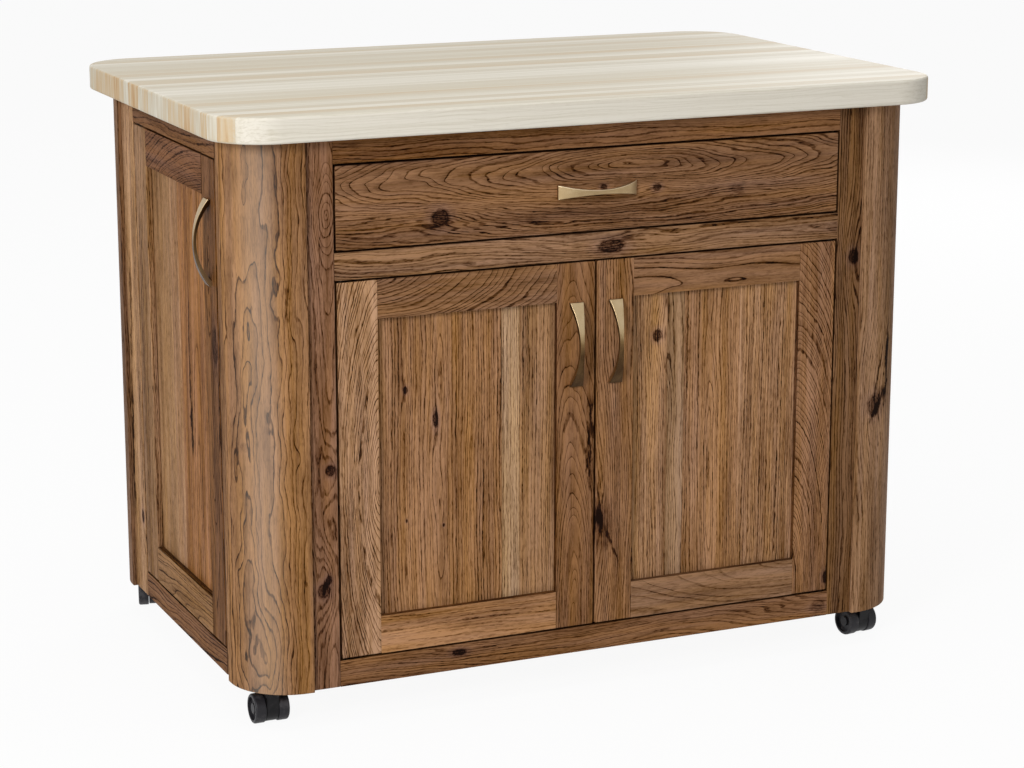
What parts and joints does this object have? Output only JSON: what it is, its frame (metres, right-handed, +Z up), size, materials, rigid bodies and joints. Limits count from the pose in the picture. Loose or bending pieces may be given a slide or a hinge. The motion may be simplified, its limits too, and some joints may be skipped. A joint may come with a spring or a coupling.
{
  "type": "kitchen island",
  "caption": "Kitchen island on swivel casters: butcher-block top on a stained wood body with rounded corner posts, a wide drawer over two framed doors, and a framed door in the left end.",
  "frame": {"origin": "on the floor, under the middle of the worktop", "axes": "+X to the right along the front, -Y out of the front, +Z up"},
  "size_m": [1.168, 0.762, 0.914],
  "materials": {
    "butcher_block": "pale oiled butcher block",
    "stained_hickory": "brown stained rustic hickory, satin",
    "interior_wood": "clear satin",
    "antique_brass": "brushed antique brass",
    "steel": "zinc plated",
    "caster_body": "black moulded",
    "caster_wheel": "dark grey moulded",
    "catch_plastic": "brown moulded"
  },
  "bodies": {
    "cabinet": {"back_panels": "stained_hickory", "back_rails": "stained_hickory", "back_stiles": "stained_hickory", "butcher_block_top": "butcher_block", "cabinet_battens": "interior_wood", "cabinet_deck": "interior_wood", "caster_stems": "steel", "door_catches": "catch_plastic", "front_bottom_rail": "stained_hickory", "front_mid_rail": "stained_hickory", "front_stile_left": "stained_hickory", "front_stile_right": "stained_hickory", "front_top_rail": "stained_hickory", "left_bottom_rail": "stained_hickory", "left_stile_front": "stained_hickory", "left_stile_rear": "stained_hickory", "left_top_rail": "stained_hickory", "partition": "interior_wood", "pivot_plates": "steel", "post_front_left": "stained_hickory", "post_front_right": "stained_hickory", "post_rear_left": "stained_hickory", "post_rear_right": "stained_hickory", "right_panel": "stained_hickory", "right_rails": "stained_hickory", "right_stiles": "stained_hickory", "slide_cabinet_members": "steel"},
    "drawer": {"drawer_back": "interior_wood", "drawer_bottom": "interior_wood", "drawer_box_front": "interior_wood", "drawer_front": "stained_hickory", "drawer_pull": "antique_brass", "drawer_sides": "interior_wood", "slide_drawer_members": "steel"},
    "left_door": {"left_door_hinge_stile": "stained_hickory", "left_door_panel": "stained_hickory", "left_door_pivots": "steel", "left_door_pull": "antique_brass", "left_door_pull_stile": "stained_hickory", "left_door_rails": "stained_hickory"},
    "right_door": {"right_door_hinge_stile": "stained_hickory", "right_door_panel": "stained_hickory", "right_door_pivots": "steel", "right_door_pull": "antique_brass", "right_door_pull_stile": "stained_hickory", "right_door_rails": "stained_hickory"},
    "side_door": {"side_door_hinge_stile": "stained_hickory", "side_door_panel": "stained_hickory", "side_door_pivots": "steel", "side_door_pull": "antique_brass", "side_door_pull_stile": "stained_hickory", "side_door_rails": "stained_hickory"},
    "caster_front_left": {"caster_body_front_left": "caster_body"},
    "wheels_front_left": {"caster_wheels_front_left": "caster_wheel"},
    "caster_front_right": {"caster_body_front_right": "caster_body"},
    "wheels_front_right": {"caster_wheels_front_right": "caster_wheel"},
    "caster_rear_left": {"caster_body_rear_left": "caster_body"},
    "wheels_rear_left": {"caster_wheels_rear_left": "caster_wheel"},
    "caster_rear_right": {"caster_body_rear_right": "caster_body"},
    "wheels_rear_right": {"caster_wheels_rear_right": "caster_wheel"}
  },
  "joints": [
    {"name": "drawer_slide", "type": "slide", "parent": "cabinet", "child": "drawer", "axis": [0, -1, 0], "range_m": [0, 0.38]},
    {"name": "left_door_hinge", "type": "hinge", "parent": "cabinet", "child": "left_door", "pos_m": [-0.402, -0.3405, 0.102], "axis": [0, 0, -1], "range_deg": [0, 110]},
    {"name": "right_door_hinge", "type": "hinge", "parent": "cabinet", "child": "right_door", "pos_m": [0.402, -0.3405, 0.102], "axis": [0, 0, 1], "range_deg": [0, 110]},
    {"name": "side_door_hinge", "type": "hinge", "parent": "cabinet", "child": "side_door", "pos_m": [-0.5435, 0.177, 0.102], "axis": [0, 0, -1], "range_deg": [0, 110]},
    {"name": "swivel_front_left", "type": "hinge", "parent": "cabinet", "child": "caster_front_left", "pos_m": [-0.506, -0.303, 0.052], "axis": [0, 0, 1], "continuous": true},
    {"name": "roll_front_left", "type": "hinge", "parent": "caster_front_left", "child": "wheels_front_left", "pos_m": [-0.506, -0.287, 0.0225], "axis": [1, 0, 0], "continuous": true},
    {"name": "swivel_front_right", "type": "hinge", "parent": "cabinet", "child": "caster_front_right", "pos_m": [0.506, -0.303, 0.052], "axis": [0, 0, 1], "continuous": true},
    {"name": "roll_front_right", "type": "hinge", "parent": "caster_front_right", "child": "wheels_front_right", "pos_m": [0.50377, -0.28716, 0.0225], "axis": [0.9903, 0.1392, 0], "continuous": true},
    {"name": "swivel_rear_left", "type": "hinge", "parent": "cabinet", "child": "caster_rear_left", "pos_m": [-0.506, 0.303, 0.052], "axis": [0, 0, 1], "continuous": true},
    {"name": "roll_rear_left", "type": "hinge", "parent": "caster_rear_left", "child": "wheels_rear_left", "pos_m": [-0.50186, 0.31845, 0.0225], "axis": [0.9659, -0.2588, 0], "continuous": true},
    {"name": "swivel_rear_right", "type": "hinge", "parent": "cabinet", "child": "caster_rear_right", "pos_m": [0.506, 0.303, 0.052], "axis": [0, 0, 1], "continuous": true},
    {"name": "roll_rear_right", "type": "hinge", "parent": "caster_rear_right", "child": "wheels_rear_right", "pos_m": [0.506, 0.319, 0.0225], "axis": [1, 0, 0], "continuous": true}
  ]
}
